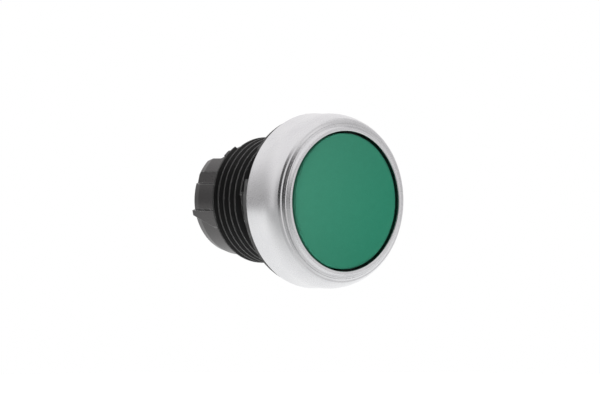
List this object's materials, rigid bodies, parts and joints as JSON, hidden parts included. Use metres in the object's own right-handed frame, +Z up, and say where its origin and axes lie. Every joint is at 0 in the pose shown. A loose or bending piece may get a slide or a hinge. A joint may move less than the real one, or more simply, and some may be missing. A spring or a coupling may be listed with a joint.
{
  "type": "industrial push button",
  "caption": "Flush spring-return push button head for a round panel cut-out: green cap in a satin ring, threaded barrel and a rear sleeve with a bayonet for a contact block.",
  "frame": {"origin": "on the button's axis, in the plane where the gasket seats on the panel's front face", "axes": "front and cap towards -Y, barrel and sleeve towards +Y, +Z up with the latch slot of the sleeve on top, +X to the right seen from the front"},
  "size_m": [0.0298, 0.0298, 0.0298],
  "materials": {
    "satin_chrome": "satin chrome plate, fine grain",
    "green_plastic": "fine matte moulded texture",
    "black_nylon": "glass-filled nylon, semi-matte",
    "grey_nylon": "glass-filled nylon, semi-matte",
    "white_acetal": "natural acetal, slightly glossy",
    "black_rubber": "moulded rubber",
    "gasket_rubber": "moulded rubber with a bloom of grey",
    "diaphragm_rubber": "silicone rubber, matte",
    "spring_steel": "drawn stainless wire and sheet"
  },
  "bodies": {
    "housing": {"bezel": "satin_chrome", "inner_ring": "satin_chrome", "bezel_o_ring": "black_rubber", "barrel": "black_nylon", "panel_gasket": "gasket_rubber", "seal_clamp_ring": "black_nylon", "diaphragm_seal": "diaphragm_rubber", "return_spring": "spring_steel", "spring_washer": "spring_steel", "rear_sleeve": "grey_nylon"},
    "button": {"button_cap": "green_plastic", "cap_carrier": "black_nylon", "plunger": "white_acetal", "pusher_plate": "grey_nylon"}
  },
  "joints": [
    {"name": "button_press", "type": "slide", "parent": "housing", "child": "button", "axis": [0, 1, 0], "range_m": [0, 0.0045], "stiffness_N_per_m": 400, "springref_m": -0.00625, "deforming": ["return_spring", "diaphragm_seal"]}
  ]
}
